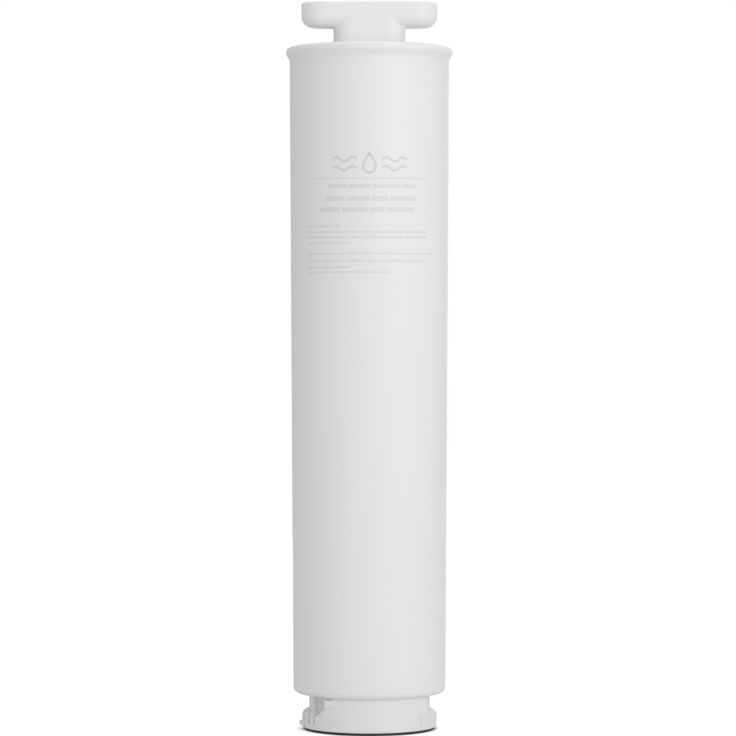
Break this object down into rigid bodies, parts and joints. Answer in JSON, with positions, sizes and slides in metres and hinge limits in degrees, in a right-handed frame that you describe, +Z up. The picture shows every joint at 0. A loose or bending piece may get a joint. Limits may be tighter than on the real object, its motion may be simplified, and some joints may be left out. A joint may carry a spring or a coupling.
{
  "type": "twist-lock water filter cartridge",
  "caption": "Tall white twist-lock water filter cartridge with a T grip on its cap and a bayonet base that plugs over a filter head; sprung drip-stop valves inside.",
  "frame": {"origin": "centre of the foot gasket's face, on the barrel's axis", "axes": "+Z up along the barrel to the grip, +X along the grip's bar, -Y towards the printed front"},
  "size_m": [0.0876, 0.0876, 0.382],
  "materials": {
    "housing_white": "satin",
    "grip_white": "satin",
    "base_white": "satin",
    "seal_black": "matte",
    "seal_grey": "matte",
    "valve_acetal": "satin",
    "spring_steel": "satin",
    "element_plastic": "satin",
    "carbon": "matte",
    "fleece": "matte",
    "pleated_media": "matte",
    "net_plastic": "satin",
    "pad_foam": "matte"
  },
  "bodies": {
    "housing": {"shell": "housing_white", "top_cap": "housing_white", "cap_o_ring": "seal_black", "t_handle": "grip_white", "handle_lid": "grip_white", "bayonet_base": "base_white", "foot_gasket": "seal_black", "port_plug": "base_white", "plug_o_rings": "seal_black", "check_spring": "spring_steel", "valve_cage": "valve_acetal", "poppet_spring": "spring_steel", "outlet_spider": "valve_acetal", "lower_end_cap": "element_plastic", "upper_end_cap": "element_plastic", "spigot_o_ring": "seal_black", "core_tube": "element_plastic", "carbon_block": "carbon", "fleece_wrap": "fleece", "pleated_sheet": "pleated_media", "outer_net": "net_plastic", "hold_down_pad": "pad_foam"},
    "outlet_valve": {"outlet_poppet": "valve_acetal", "poppet_pad": "seal_grey"},
    "inlet_valve": {"check_ring": "valve_acetal", "check_gasket": "seal_grey"}
  },
  "joints": [
    {"name": "outlet_valve_slide", "type": "slide", "parent": "housing", "child": "outlet_valve", "axis": [0, 0, 1], "range_m": [0, 0.004], "stiffness_N_per_m": 300, "springref_m": -0.004, "deforming": ["poppet_spring"]},
    {"name": "inlet_valve_slide", "type": "slide", "parent": "housing", "child": "inlet_valve", "axis": [0, 0, 1], "range_m": [0, 0.003], "stiffness_N_per_m": 200, "springref_m": -0.004, "deforming": ["check_spring"]}
  ]
}
